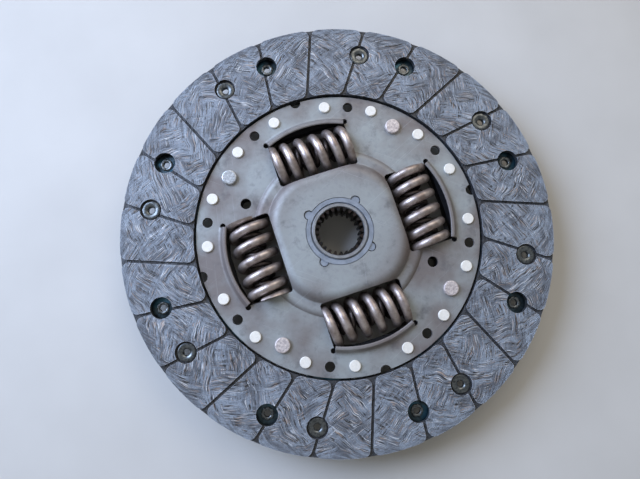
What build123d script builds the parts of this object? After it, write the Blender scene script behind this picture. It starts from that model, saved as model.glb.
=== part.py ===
from build123d import *
import os
from math import asin, cos, degrees, hypot, radians, sin, sqrt, tan

# Clutch disc with a spring-damped hub, in millimetres.
# The hub's axis is Z and the front, with the raised platform, is +Z.
# z = 0 is the middle of the wavy cushion sheet between the two friction facings.
# The spring windows stand on +X, +Y, -X and -Y.

# Friction facings
facing_width = 39.7  # across the ring, from its inside to its rim
facing_thickness = 3.6
groove_count = 24
groove_width = 1.7
groove_depth = 1.2
groove_lean = 11.0  # degrees off the radius, clockwise towards the rim
groove_side_step = 1.7  # from a rivet's centre to the middle of its groove
pad_corner_radius = 3.6

# Tubular rivets that hold the facings
facing_rivet_inset = 15.2  # from the facings' rim to their rivets
facing_rivet_spread = 7.5  # degrees from the middle of a cushion paddle
counterbore_radius = 5.9
counterbore_depth = 2.2
tube_rivet_radius = 2.75
tube_rivet_bore = 1.75
tube_rivet_head_radius = 5.0
tube_rivet_head = 0.8
rolled_end_radius = 3.5
rolled_end = 0.6

# Cushion segments, cut from thin spring steel
segment_count = 8
cushion_thickness = 0.7
cushion_wave = 0.45
wave_start = 5.0  # where the raised zone becomes flat, from the paddle's middle
wave_end = 24.0
wave_run_out = 7.0
paddle_edge_step = 2.0  # from the facings' rim to the paddle's
paddle_side_gap = 2.5  # degrees between two paddles
paddle_inner_step = 3.7  # from the facings' inside to the paddle's
paddle_corner_radius = 4.0
paddle_angle = 12.5
foot_angle = 22.5
foot_half_angle = 13.8
foot_edge = 3.4  # from a foot rivet's centre to the foot's inner edge
foot_corner_radius = 2.5
neck_half_width = 11.9
neck_ramp = 6.0

# Cover plate and rear plate of the damper
plate_thickness = 2.0
cover_gap = 1.2  # between the cover plate's rim and the facing
foot_rivet_inset = 6.1  # from the cover plate's rim to the foot rivets
sight_hole_inset = 5.9
sight_hole_radius = 2.85
edge_notch_radius = 3.0
foot_rivet_spread = 10.57  # degrees from the middle of a foot
gauge_hole_step = 7.0  # from the step's foot to the gauge holes
gauge_hole_angle = 144.46
gauge_hole_radius = 3.0
step_width = 13.5  # from the platform's side to the step's foot
step_height = 1.7
step_draft = 40.0
platform_height = 6.8
platform_room = 8.0  # from the front bush's collar to the platform's side
platform_side = 18.0  # the straight part between two corners
platform_draft = 30.0
platform_bend = 6.5
platform_root = 0.8
step_bend = 4.0
step_root = 0.5
dish_room = 6.0  # from the rear bush's collar to the dish's foot
dish_depth = 2.0
dish_draft = 40.0
ear_edge = 3.0  # from a stop pin's head to the ear's edge
plate_rim = 9.6  # from the springs' outer side to the rear plate's edge
ear_blend = 6.0

# Spring windows and the lips that curl over the springs
window_setback = 0.2  # from the platform's side to a window's inner edge
window_inner_gap = 0.8
window_corner_radius = 1.6
spring_end_clearance = 0.1
spring_side_clearance = 0.2
lip_centre = 8.6  # from the hub's axis to the centre of the lip's arc
lip_clearance = 0.15
lip_height = 3.5
lip_root_radius = 2.0
lip_edge_radius = 0.65
lip_half_angle = 23.7
relief_hole_radius = 1.5
relief_hole_step = 0.7  # beyond the window's side
flange_window_margin = 1.5  # from the spring to the flange window's outer edge

# Damper springs
spring_length = 45.6
outer_spring_radius = 12.5
outer_wire = 5.0
outer_active_turns = 4
outer_end_gap = 1.3  # between the wires of a closed turn
outer_tip = 1.4  # wire left at the tip of a ground end
outer_spring_phases = (180, 180, 0, 180)  # degrees about each spring's own axis
inner_spring_clearance = 0.5  # from the outer spring's inside
inner_wire = 3.0
inner_active_turns = 7
inner_end_gap = 0.6
inner_tip = 0.8
end_turns = 1.06

# Hub
spline_teeth = 24
spline_major_radius = 13.2
spline_tooth_height = 1.9
tooth_root_width = 2.5
tooth_tip_width = 0.95
tooth_overlap = 0.3
bore_relief = 0.5  # from the spline's roots to the bore's mouth and rear part
bore_mouth_depth = 1.0
bore_mouth_draft = 25.0
hub_wall = 2.1
hub_front_stand = 0.4  # the hub's ends beyond the bushes
hub_rear_stand = 6.85
hub_edge = 0.35
rear_bore_depth = 7.7
flange_thickness = 5.0
flange_clearance = 0.5
flange_root_radius = 0.8
flange_rim_gap = 0.8
twist_limit = 8.5
stop_margin = 0.1
notch_depth_margin = 0.7
notch_corner_radius = 1.5

# Stop pins between the two plates
stop_pin_count = 4
stop_pin_radius = 4.0
stop_pin_shank_radius = 3.0
stop_pin_head_radius = 4.2
stop_pin_head = 2.0
stop_pin_dome = 0.7

# Solid rivets through the cushion feet
foot_rivet_radius = 2.3
foot_rivet_head_radius = 3.1
foot_rivet_head = 1.2
foot_rivet_tail_radius = 2.9
foot_rivet_tail = 1.1

# Bushes and friction parts around the hub
bush_running_clearance = 0.05
bush_wall = 3.05
bush_seat_clearance = 0.3
bush_mouth = 0.7
bush_mouth_depth = 1.4
bush_root = 1.1  # clears the fillet at the flange's root
bush_collar_width = 7.6
bush_collar = 1.8
bush_recess = 0.1  # from the platform's top face down to the bush's end
lug_count = 4
lug_radius = 2.2
lug_step = 0.6  # from the bush's outside to the lugs' centres
lug_clearance = 0.5
lug_drop = 0.5  # from the bush's end down to its lugs
friction_ring_gap = 1.9  # from the hub, as for the two rings below
friction_ring_reach = 3.0  # beyond the bush's collar, as for the two rings below
friction_ring_thickness = 1.8
thrust_washer_gap = 1.3
thrust_washer_reach = 3.5
thrust_washer_thickness = 1.2
disc_spring_gap = 2.3
disc_spring_reach = 2.5
disc_spring_thickness = 1.0
stack_clearance = 0.05

rivet_clearance = 0.05
head_chamfer = 0.3

# Places that follow from the sizes above, from the hub outwards
hub_radius = spline_major_radius + hub_wall
spline_minor_radius = spline_major_radius - spline_tooth_height
bore_relief_radius = spline_major_radius + bore_relief
bush_bore = hub_radius + bush_running_clearance
bush_radius = bush_bore + bush_wall
bush_collar_radius = bush_radius + bush_collar_width
lug_circle = bush_radius + lug_step
plate_bore = bush_radius + bush_seat_clearance
platform_half = bush_collar_radius + platform_room
platform_corner_radius = platform_half - platform_side / 2
step_radius = platform_half + step_width
gauge_hole_circle = step_radius + gauge_hole_step
dish_radius = bush_collar_radius + dish_room
window_inner = platform_half + window_setback
spring_circle = window_inner + window_inner_gap + outer_spring_radius
window_half_length = spring_length / 2 + spring_end_clearance
window_outer_corner = spring_circle + outer_spring_radius + spring_side_clearance
window_arc_radius = hypot(window_outer_corner - lip_centre, window_half_length)
inner_spring_radius = outer_spring_radius - outer_wire - inner_spring_clearance
foot_inner_radius = spring_circle + outer_spring_radius + plate_rim
foot_rivet_circle = foot_inner_radius + foot_edge
cover_radius = foot_rivet_circle + foot_rivet_inset
sight_hole_circle = cover_radius - sight_hole_inset
flange_radius = foot_inner_radius - flange_rim_gap
stop_pin_circle = flange_radius
ear_radius = stop_pin_head_radius + ear_edge
facing_inner_radius = cover_radius + cover_gap
facing_outer_radius = facing_inner_radius + facing_width
facing_rivet_circle = facing_outer_radius - facing_rivet_inset
paddle_inner_radius = facing_inner_radius + paddle_inner_step
paddle_outer_radius = facing_outer_radius - paddle_edge_step

# Heights, from the damper's middle plane outwards on both sides
half_flange = flange_thickness / 2
plate_gap = flange_thickness + 2 * flange_clearance
plate_inner = plate_gap / 2
plate_outer = plate_inner + plate_thickness
platform_inner = plate_inner + platform_height
dish_inner = plate_inner + dish_depth
front_bush_end = platform_inner + plate_thickness - bush_recess
rear_bush_end = dish_inner + plate_thickness - bush_recess
hub_front = front_bush_end + hub_front_stand
hub_rear = rear_bush_end + hub_rear_stand
spline_rear = hub_rear - rear_bore_depth
damper_middle = cushion_thickness / 2 - plate_inner
facing_back = cushion_thickness / 2 + cushion_wave

facing_rivet_hole = tube_rivet_radius + rivet_clearance
foot_rivet_hole = foot_rivet_radius + rivet_clearance
stop_pin_hole = stop_pin_shank_radius + rivet_clearance
segment_pitch = 360 / segment_count

# Working planes: their origin is on the axis and +Z points out of that side
front_side = Plane(origin=(0, 0, damper_middle))
rear_side = Plane(origin=(0, 0, damper_middle), x_dir=(1, 0, 0), z_dir=(0, 0, -1))
paddle_x = (cos(radians(paddle_angle)), sin(radians(paddle_angle)), 0)
paddle_y = (-sin(radians(paddle_angle)), cos(radians(paddle_angle)), 0)
front_facing_side = Plane(origin=(0, 0, 0), x_dir=paddle_x, z_dir=(0, 0, 1))
rear_facing_side = Plane(origin=(0, 0, 0), x_dir=paddle_x, z_dir=(0, 0, -1))

os.makedirs("parts", exist_ok=True)


def section(side):
    """The plane through the axis whose x is the radius and whose y points out of the side."""
    return Plane(origin=side.origin, x_dir=side.x_dir, z_dir=-side.y_dir)


def washer(side, bore, radius, low, thickness):
    """A flat ring between two radii, standing at a height above the side's plane."""
    with BuildPart() as ring:
        with BuildSketch(side.offset(low)):
            Circle(radius)
            Circle(bore, mode=Mode.SUBTRACT)
        extrude(amount=thickness)
    return ring.part


def sheet_outline(bends, thickness):
    """The closed outline of a bent sheet whose middle line runs through the bends."""
    upper = [(x, y + thickness / 2) for x, y in bends]
    lower = [(x, y - thickness / 2) for x, y in reversed(bends)]
    return upper + lower


def facing(side):
    """A ring with raised pads between slanted grooves, and the holes of its rivets."""
    face = facing_back + facing_thickness
    floor = face - groove_depth
    with BuildPart() as ring:
        with BuildSketch(side.offset(facing_back)):
            Circle(facing_outer_radius)
            Circle(facing_inner_radius, mode=Mode.SUBTRACT)
        extrude(amount=facing_thickness - groove_depth)
        with BuildSketch(side.offset(floor)) as pads:
            Circle(facing_outer_radius)
            Circle(facing_inner_radius, mode=Mode.SUBTRACT)
            with PolarLocations(facing_rivet_circle, groove_count, facing_rivet_spread):
                with Locations((0, groove_side_step)):
                    Rectangle(
                        facing_outer_radius, groove_width, rotation=-groove_lean, mode=Mode.SUBTRACT
                    )
            fillet(pads.vertices(), pad_corner_radius)
        extrude(amount=groove_depth)
        with BuildSketch(side.offset(face)):
            with PolarLocations(facing_rivet_circle, segment_count, facing_rivet_spread):
                Circle(counterbore_radius)
        extrude(amount=-counterbore_depth, mode=Mode.SUBTRACT)
        with BuildSketch(side.offset(face)):
            with PolarLocations(facing_rivet_circle, segment_count, facing_rivet_spread):
                Circle(facing_rivet_hole)
            with PolarLocations(facing_rivet_circle, segment_count, -facing_rivet_spread):
                Circle(counterbore_radius)
        extrude(amount=-facing_thickness, mode=Mode.SUBTRACT)
    return ring.part


def facing_rivets(side):
    """The tubular rivets of one facing: a flat head in its counterbore and a rolled end."""
    seat = facing_back + facing_thickness - counterbore_depth
    sheet_far_side = facing_back - cushion_thickness
    with BuildPart() as rivets:
        with BuildSketch(side.offset(sheet_far_side - rolled_end)):
            with PolarLocations(facing_rivet_circle, segment_count, facing_rivet_spread):
                Circle(rolled_end_radius)
        extrude(amount=rolled_end)
        with BuildSketch(side.offset(sheet_far_side)):
            with PolarLocations(facing_rivet_circle, segment_count, facing_rivet_spread):
                Circle(tube_rivet_radius)
        extrude(amount=seat - sheet_far_side)
        with BuildSketch(side.offset(seat)):
            with PolarLocations(facing_rivet_circle, segment_count, facing_rivet_spread):
                Circle(tube_rivet_head_radius)
        extrude(amount=tube_rivet_head)
        rims = rivets.edges().filter_by(GeomType.CIRCLE).filter_by(
            lambda edge: edge.radius in (rolled_end_radius, tube_rivet_head_radius)
        )
        chamfer(rims.group_by(Axis.Z)[0] + rims.group_by(Axis.Z)[-1], head_chamfer)
        with BuildSketch(side.offset(sheet_far_side - rolled_end)):
            with PolarLocations(facing_rivet_circle, segment_count, facing_rivet_spread):
                Circle(tube_rivet_bore)
        extrude(amount=facing_back + facing_thickness, mode=Mode.SUBTRACT)
    return rivets.part


def cushion_segment():
    """One petal: a foot under the cover plate, a joggled neck and a wavy paddle."""
    half_paddle = segment_pitch / 2 - paddle_side_gap / 2
    wedge_x = facing_outer_radius
    wedge_y = wedge_x * tan(radians(half_paddle))
    run_out = wave_end + wave_run_out
    crimps = [
        (-wedge_y, 0),
        (-run_out, 0),
        (-wave_end, -cushion_wave),
        (-wave_start, -cushion_wave),
        (wave_start, cushion_wave),
        (wave_end, cushion_wave),
        (run_out, 0),
        (wedge_y, 0),
    ]
    neck_inner = cover_radius - foot_edge
    ramp_end = facing_inner_radius + neck_ramp
    joggle = [
        (neck_inner, 0),
        (facing_inner_radius, 0),
        (ramp_end, cushion_wave),
        (ramp_end + neck_ramp, cushion_wave),
    ]
    across_paddle = Plane(origin=(0, 0, 0), x_dir=paddle_y, z_dir=paddle_x)
    foot_plane = Plane.XY.rotated((0, 0, foot_angle))
    foot_reach = facing_outer_radius * tan(radians(foot_half_angle))
    with BuildPart() as petal:
        with BuildSketch(across_paddle):
            with BuildLine():
                Polyline(*sheet_outline(crimps, cushion_thickness), close=True)
            make_face()
        extrude(amount=facing_outer_radius)
        with BuildSketch(front_facing_side.offset(-facing_back)) as paddle:
            Circle(paddle_outer_radius)
            Circle(paddle_inner_radius, mode=Mode.SUBTRACT)
            with BuildLine():
                Polyline((0, 0), (wedge_x, -wedge_y), (wedge_x, wedge_y), close=True)
            make_face(mode=Mode.INTERSECT)
            fillet(paddle.vertices(), paddle_corner_radius)
        extrude(amount=2 * facing_back, mode=Mode.INTERSECT)
        with BuildSketch(section(foot_plane)):
            with BuildLine():
                Polyline(*sheet_outline(joggle, cushion_thickness), close=True)
            make_face()
        extrude(amount=neck_half_width, both=True)
        with BuildSketch(foot_plane.offset(-cushion_thickness / 2)) as foot:
            Circle(cover_radius - cushion_thickness)
            Circle(foot_inner_radius, mode=Mode.SUBTRACT)
            with BuildLine():
                Polyline(
                    (0, 0), (facing_outer_radius, -foot_reach), (facing_outer_radius, foot_reach), close=True
                )
            make_face(mode=Mode.INTERSECT)
            fillet(foot.vertices(), foot_corner_radius)
        extrude(amount=cushion_thickness)
        with BuildSketch(foot_plane.offset(-cushion_thickness / 2)):
            for turn in (-foot_rivet_spread, foot_rivet_spread):
                with PolarLocations(foot_rivet_circle, 1, turn):
                    Circle(foot_rivet_hole)
            with Locations((sight_hole_circle, 0)):
                Circle(sight_hole_radius)
        extrude(amount=cushion_thickness, mode=Mode.SUBTRACT)
        with BuildSketch(front_facing_side.offset(-facing_back)):
            for turn in (-facing_rivet_spread, facing_rivet_spread):
                with PolarLocations(facing_rivet_circle, 1, turn):
                    Circle(facing_rivet_hole)
        extrude(amount=2 * facing_back, mode=Mode.SUBTRACT)
    return petal.part


def spring_window(reach):
    """The opening that a spring sits in: straight inside, an arc outside that ends at the reach."""
    length = reach - window_inner
    with BuildSketch() as window:
        with Locations((window_inner + length / 2, 0)):
            Rectangle(length, 2 * window_half_length)
        fillet(window.vertices().group_by(Axis.X)[0], window_corner_radius)
        with Locations((lip_centre, 0)):
            Circle(window_arc_radius, mode=Mode.INTERSECT)
    return window.sketch


def spring_lip():
    """The wall along a window's outer edge, curled in around the spring and trimmed flat."""
    # Seen in the plane of the lip's end, the spring's axis and radius are stretched by its slant
    stretch = 1 / cos(radians(lip_half_angle))
    curl_x = lip_centre + (spring_circle - lip_centre) * stretch
    inner_curl = (outer_spring_radius + lip_clearance) * stretch
    outer_curl = inner_curl + plate_thickness
    top = plate_outer + lip_height
    middle = (plate_inner + top) / 2
    outer_middle = (plate_outer + top) / 2

    def inner(height):
        return (curl_x + sqrt(inner_curl**2 - height**2), height)

    def outer(height):
        return (curl_x + sqrt(outer_curl**2 - height**2), height)

    foot_x = outer(plate_outer)[0] + lip_root_radius
    with BuildPart() as lip:
        with BuildSketch(Plane.XZ) as profile:
            with BuildLine():
                ThreePointArc(inner(plate_inner), inner(middle), inner(top))
                Line(inner(top), outer(top))
                ThreePointArc(outer(top), outer(outer_middle), outer(plate_outer))
                Polyline(
                    outer(plate_outer), (foot_x, plate_outer), (foot_x, plate_inner), inner(plate_inner)
                )
            make_face()
            fillet(profile.vertices().group_by(Axis.Y)[-1], lip_edge_radius)
            root = profile.vertices().filter_by_position(Axis.Y, plate_outer, plate_outer)
            fillet(root.sort_by(Axis.X)[0], lip_root_radius)
        turning = Axis((lip_centre, 0, 0), (0, 0, 1))
        revolve(axis=turning, revolution_arc=2 * lip_half_angle)
    return lip.part.rotate(turning, -lip_half_angle)


def raised_form(inset, drop):
    """The step and the platform as one solid on the plate, or its hollow when inset and dropped."""
    base = plate_outer - drop
    step_top = damper_middle + base + step_height
    rise = platform_height - step_height
    wall_run = rise * tan(radians(platform_draft))
    half = platform_half + wall_run - inset
    corner = platform_corner_radius + wall_run - inset
    with BuildPart() as form:
        with BuildSketch(front_side.offset(base)):
            Circle(step_radius - inset)
        extrude(amount=step_height, taper=step_draft)
        with BuildSketch(front_side.offset(base + step_height)):
            RectangleRounded(2 * half, 2 * half, corner)
        extrude(amount=rise, taper=platform_draft)
        step_edges = form.edges().filter_by_position(Axis.Z, step_top - 0.1, step_top + 0.1)
        step_edges = step_edges.sort_by(SortBy.LENGTH)
        fillet(step_edges[:-1], platform_root + drop)
        fillet(step_edges[-1], step_bend - drop)
        fillet(form.edges().group_by(Axis.Z)[-1], platform_bend - drop)
    return form.part


def coil_spring(radius, wire, active_turns, end_gap, tip, left):
    """A round-wire spring along Z, with closed ends ground flat."""
    coil_radius = radius - wire / 2
    end_pitch = wire + end_gap
    end_height = end_pitch * end_turns
    wire_end = spring_length / 2 + wire / 2 - tip
    active_height = 2 * (wire_end - end_height)
    pitch = active_height / active_turns
    end_turn = (360 if left else -360) * end_turns
    with BuildPart() as spring:
        with BuildLine() as path:
            closing = Helix(
                end_pitch, end_height, coil_radius, (0, 0, -wire_end), lefthand=left, mode=Mode.PRIVATE
            )
            add(closing.rotate(Axis.Z, end_turn))
            Helix(pitch, active_height, coil_radius, (0, 0, -active_height / 2), lefthand=left)
            Helix(end_pitch, end_height, coil_radius, (0, 0, active_height / 2), lefthand=left)
        wire_line = path.wires()[0]
        with BuildSketch(Plane(origin=wire_line @ 0, z_dir=wire_line % 0)):
            Circle(wire / 2)
        sweep(path=wire_line, is_frenet=True)
        split(bisect_by=Plane.XY.offset(spring_length / 2), keep=Keep.BOTTOM)
        split(bisect_by=Plane.XY.offset(-spring_length / 2), keep=Keep.TOP)
    return spring.part


def bush(side, collar_low, collar_top, neck_top):
    """A bush around the hub: a collar inside the plate, a neck in its bore and the lugs that key it."""
    outward = Axis(side.origin, side.z_dir)
    with BuildPart() as ring:
        with BuildSketch(side.offset(collar_low)):
            Circle(bush_collar_radius)
        extrude(amount=collar_top - collar_low)
        with BuildSketch(side.offset(collar_top)):
            with PolarLocations(lug_circle, lug_count, 45):
                Circle(lug_radius)
        extrude(amount=neck_top - lug_drop - collar_top)
        with BuildSketch(side.offset(collar_top)):
            Circle(bush_radius)
        extrude(amount=neck_top - collar_top)
        with BuildSketch(side.offset(neck_top)):
            Circle(bush_bore + bush_mouth)
        extrude(amount=-bush_mouth_depth, mode=Mode.SUBTRACT)
        with BuildSketch(side.offset(collar_low)):
            Circle(bush_bore)
        extrude(amount=neck_top - collar_low, mode=Mode.SUBTRACT)
        chamfer(ring.faces().sort_by(outward)[0].inner_wires()[0].edges(), bush_root)
    return ring.part


def plate_bore_outline():
    """A plate's centre hole, with the notches that the bush's lugs key into."""
    with BuildSketch() as bore:
        Circle(plate_bore)
        with PolarLocations(lug_circle, lug_count, 45):
            Circle(lug_radius + lug_clearance)
    return bore.sketch


def damper_holes(side, depth):
    """The openings that both plates share: windows, stop pin holes and the centre bore."""
    with BuildPart() as holes:
        with BuildSketch(side.offset(plate_inner)):
            with PolarLocations(0, 4):
                add(spring_window(lip_centre + window_arc_radius))
            with PolarLocations(stop_pin_circle, stop_pin_count, 45):
                Circle(stop_pin_hole)
            add(plate_bore_outline())
        extrude(amount=depth)
    return holes.part


def relief_holes(side):
    """The small holes at the windows' outer corners, where the lips start to bend."""
    hole_y = window_half_length + relief_hole_step
    with BuildPart() as holes:
        with BuildSketch(side.offset(plate_inner)):
            with PolarLocations(0, 4):
                with Locations((window_outer_corner, hole_y), (window_outer_corner, -hole_y)):
                    Circle(relief_hole_radius)
        extrude(amount=plate_thickness + relief_hole_radius / 2)
    return holes.part


def stop_notch():
    """The notch in the flange's rim that lets a stop pin travel to the twist limit."""
    bottom = stop_pin_circle * cos(radians(twist_limit)) - stop_pin_radius - notch_depth_margin
    top = stop_pin_circle + stop_pin_radius
    half_angle = twist_limit + stop_margin + degrees(asin(stop_pin_radius / stop_pin_circle))
    slope = tan(radians(half_angle))
    with BuildSketch() as notch:
        Polygon(
            (bottom, -bottom * slope),
            (top, -top * slope),
            (top, top * slope),
            (bottom, bottom * slope),
            align=None,
        )
        fillet(notch.vertices().group_by(Axis.X)[0], notch_corner_radius)
    return notch.sketch


def foot_rivet_circles(radius):
    """One circle at each of the rivets that hold the cushion feet."""
    with BuildSketch() as circles:
        for foot in range(segment_count):
            for turn in (-foot_rivet_spread, foot_rivet_spread):
                with PolarLocations(foot_rivet_circle, 1, foot_angle + foot * segment_pitch + turn):
                    Circle(radius)
    return circles.sketch


def rounded_head(side, circles, low, height):
    """The rivet heads that stand on a face, with their rims chamfered."""
    with BuildPart() as heads:
        with BuildSketch(side.offset(low)):
            add(circles)
        extrude(amount=height)
        chamfer(heads.edges().group_by(Axis(side.origin, side.z_dir))[-1], head_chamfer)
    return heads.part


# Front and rear facings, the same ring on both sides of the cushion
for side, side_name in ((front_facing_side, "front"), (rear_facing_side, "rear")):
    with BuildPart() as friction_facing:
        add(facing(side))
    friction_facing.part.label = f"{side_name}_facing"
    export_step(friction_facing.part, f"parts/{side_name}_facing.step")
    with BuildPart() as tube_rivets:
        add(facing_rivets(side))
    tube_rivets.part.label = f"{side_name}_facing_rivets"
    export_step(tube_rivets.part, f"parts/{side_name}_facing_rivets.step")

# Cushion segments
petal = cushion_segment()
for k in range(segment_count):
    with BuildPart() as segment:
        add(petal, rotation=(0, 0, k * segment_pitch))
    segment.part.label = f"cushion_segment_{k + 1}"
    export_step(segment.part, f"parts/cushion_segment_{k + 1}.step")

# Cover plate: a flat rim that carries the cushion feet, a shallow step and a raised platform
hollow_wall = (1 - sin(radians(platform_draft))) / cos(radians(platform_draft))
with BuildPart() as cover_plate:
    with BuildSketch(front_side.offset(plate_inner)):
        Circle(cover_radius)
    extrude(amount=plate_thickness)
    add(raised_form(0, 0))
    step_foot = cover_plate.edges().filter_by(GeomType.CIRCLE).sort_by(
        lambda edge: abs(edge.radius - step_radius)
    )
    fillet(step_foot[0], step_root)
    add(raised_form(plate_thickness * hollow_wall, plate_thickness), mode=Mode.SUBTRACT)
    add(damper_holes(front_side, plate_thickness + platform_height), mode=Mode.SUBTRACT)
    with BuildSketch(front_side.offset(plate_inner)):
        add(foot_rivet_circles(foot_rivet_hole))
        with PolarLocations(sight_hole_circle, segment_count, foot_angle):
            Circle(sight_hole_radius)
        with PolarLocations(gauge_hole_circle, 2, gauge_hole_angle):
            Circle(gauge_hole_radius)
        with PolarLocations(cover_radius, 4):
            Circle(edge_notch_radius)
    extrude(amount=plate_thickness, mode=Mode.SUBTRACT)
    with PolarLocations(0, 4):
        add(spring_lip().moved(front_side.location))
    add(relief_holes(front_side), mode=Mode.SUBTRACT)
cover_plate.part.label = "cover_plate"
export_step(cover_plate.part, "parts/cover_plate.step")

# Rear plate: a smaller disc with four ears for the stop pins and a dish around the hub
dish_wall = (1 - sin(radians(dish_draft))) / cos(radians(dish_draft))
with BuildPart() as rear_plate:
    with BuildSketch(rear_side.offset(plate_inner)) as blank:
        Circle(foot_inner_radius)
        with PolarLocations(stop_pin_circle, stop_pin_count, 45):
            Circle(ear_radius)
        fillet(blank.vertices(), ear_blend)
    extrude(amount=plate_thickness)
    with BuildSketch(rear_side.offset(plate_outer)):
        Circle(dish_radius)
    extrude(amount=dish_depth, taper=dish_draft)
    with BuildSketch(rear_side.offset(plate_inner)):
        Circle(dish_radius - plate_thickness * dish_wall)
    extrude(amount=dish_depth, taper=dish_draft, mode=Mode.SUBTRACT)
    add(damper_holes(rear_side, plate_thickness + dish_depth), mode=Mode.SUBTRACT)
    with BuildSketch(rear_side.offset(plate_inner)):
        with PolarLocations(gauge_hole_circle, 2, -gauge_hole_angle):
            Circle(gauge_hole_radius)
    extrude(amount=plate_thickness, mode=Mode.SUBTRACT)
    with PolarLocations(0, 4):
        add(spring_lip().moved(rear_side.location))
    add(relief_holes(rear_side), mode=Mode.SUBTRACT)
rear_plate.part.label = "rear_plate"
export_step(rear_plate.part, "parts/rear_plate.step")

# Hub: a sleeve with an internal spline and a flange whose windows drive the springs
tooth_root = spline_major_radius + tooth_overlap
with BuildPart() as hub:
    with BuildSketch(section(front_side)) as outline:
        with BuildLine():
            Polyline(
                (0, -hub_rear),
                (hub_radius, -hub_rear),
                (hub_radius, -half_flange),
                (flange_radius, -half_flange),
                (flange_radius, half_flange),
                (hub_radius, half_flange),
                (hub_radius, hub_front),
                (0, hub_front),
                close=True,
            )
        make_face()
        corners = outline.vertices().filter_by_position(Axis.X, hub_radius, hub_radius)
        corners = corners.sort_by(Axis.Y)
        chamfer([corners[0], corners[-1]], hub_edge)
        fillet(corners[1:-1], flange_root_radius)
    revolve(axis=Axis.Z)
    with BuildSketch(front_side.offset(-spline_rear)):
        Circle(spline_major_radius)
        with PolarLocations(0, spline_teeth):
            Polygon(
                (spline_minor_radius, -tooth_tip_width / 2),
                (tooth_root, -tooth_root_width / 2),
                (tooth_root, tooth_root_width / 2),
                (spline_minor_radius, tooth_tip_width / 2),
                align=None,
                mode=Mode.SUBTRACT,
            )
    extrude(amount=hub_front + spline_rear, mode=Mode.SUBTRACT)
    with BuildSketch(front_side.offset(-hub_rear)):
        Circle(bore_relief_radius)
    extrude(amount=hub_rear - spline_rear, mode=Mode.SUBTRACT)
    with BuildSketch(front_side.offset(hub_front)):
        Circle(bore_relief_radius)
    extrude(amount=-bore_mouth_depth, taper=bore_mouth_draft, mode=Mode.SUBTRACT)
    with BuildSketch(front_side.offset(-half_flange)):
        with PolarLocations(0, 4):
            add(spring_window(spring_circle + outer_spring_radius + flange_window_margin))
        with PolarLocations(0, stop_pin_count, 45):
            add(stop_notch())
        with PolarLocations(gauge_hole_circle, 2, gauge_hole_angle):
            Circle(gauge_hole_radius)
    extrude(amount=flange_thickness, mode=Mode.SUBTRACT)
hub.part.label = "hub"
export_step(hub.part, "parts/hub.step")

# Stop pins: shouldered rivets that hold the plates apart and stop the hub's twist
for k in range(stop_pin_count):
    turn = radians(45 + k * 360 / stop_pin_count)
    pin_place = Plane(origin=(stop_pin_circle * cos(turn), stop_pin_circle * sin(turn), damper_middle))
    head_middle = plate_outer + stop_pin_head / 2
    with BuildPart(pin_place) as stop_pin:
        Cylinder(stop_pin_radius, plate_gap)
        Cylinder(stop_pin_shank_radius, 2 * plate_outer)
        with Locations((0, 0, head_middle), (0, 0, -head_middle)):
            Cylinder(stop_pin_head_radius, stop_pin_head)
        rims = stop_pin.edges().group_by(Axis.Z)
        fillet(rims[0] + rims[-1], stop_pin_dome)
    stop_pin.part.label = f"stop_pin_{k + 1}"
    export_step(stop_pin.part, f"parts/stop_pin_{k + 1}.step")

# Solid rivets that hold the cushion feet to the cover plate
foot_low = plate_inner - cushion_thickness
with BuildPart() as segment_rivets:
    with BuildSketch(front_side.offset(foot_low)):
        add(foot_rivet_circles(foot_rivet_radius))
    extrude(amount=plate_outer - foot_low)
    add(rounded_head(front_side, foot_rivet_circles(foot_rivet_head_radius), plate_outer, foot_rivet_head))
    add(rounded_head(front_side, foot_rivet_circles(foot_rivet_tail_radius), foot_low, -foot_rivet_tail))
segment_rivets.part.label = "segment_rivets"
export_step(segment_rivets.part, "parts/segment_rivets.step")

# Damper springs, an inner one inside each outer one
outer_coil = coil_spring(
    outer_spring_radius, outer_wire, outer_active_turns, outer_end_gap, outer_tip, False
)
inner_coil = coil_spring(
    inner_spring_radius, inner_wire, inner_active_turns, inner_end_gap, inner_tip, True
)
for k in range(4):
    turn = radians(90 * k)
    seat = Plane(
        origin=(spring_circle * cos(turn), spring_circle * sin(turn), damper_middle),
        x_dir=(0, 0, 1),
        z_dir=(-sin(turn), cos(turn), 0),
    )
    with BuildPart(seat) as outer_spring:
        add(outer_coil, rotation=(0, 0, outer_spring_phases[k]))
    outer_spring.part.label = f"outer_spring_{k + 1}"
    export_step(outer_spring.part, f"parts/outer_spring_{k + 1}.step")
    with BuildPart(seat) as inner_spring:
        add(inner_coil)
    inner_spring.part.label = f"inner_spring_{k + 1}"
    export_step(inner_spring.part, f"parts/inner_spring_{k + 1}.step")

# Bushes around the hub, in the platform in front and in the dish behind
collar_top = platform_inner - stack_clearance
collar_low = collar_top - bush_collar
with BuildPart() as front_bush:
    add(bush(front_side, collar_low, collar_top, front_bush_end))
front_bush.part.label = "front_bush"
export_step(front_bush.part, "parts/front_bush.step")

with BuildPart() as rear_bush:
    add(bush(rear_side, half_flange + stack_clearance, dish_inner - stack_clearance, rear_bush_end))
rear_bush.part.label = "rear_bush"
export_step(rear_bush.part, "parts/rear_bush.step")

# Friction stack between the flange and the front bush's collar
ring_low = half_flange + stack_clearance
washer_low = ring_low + friction_ring_thickness + stack_clearance
spring_low = washer_low + thrust_washer_thickness + stack_clearance
spring_top = collar_low - stack_clearance
with BuildPart() as friction_ring:
    add(
        washer(
            front_side,
            hub_radius + friction_ring_gap,
            bush_collar_radius + friction_ring_reach,
            ring_low,
            friction_ring_thickness,
        )
    )
friction_ring.part.label = "friction_ring"
export_step(friction_ring.part, "parts/friction_ring.step")

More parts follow.
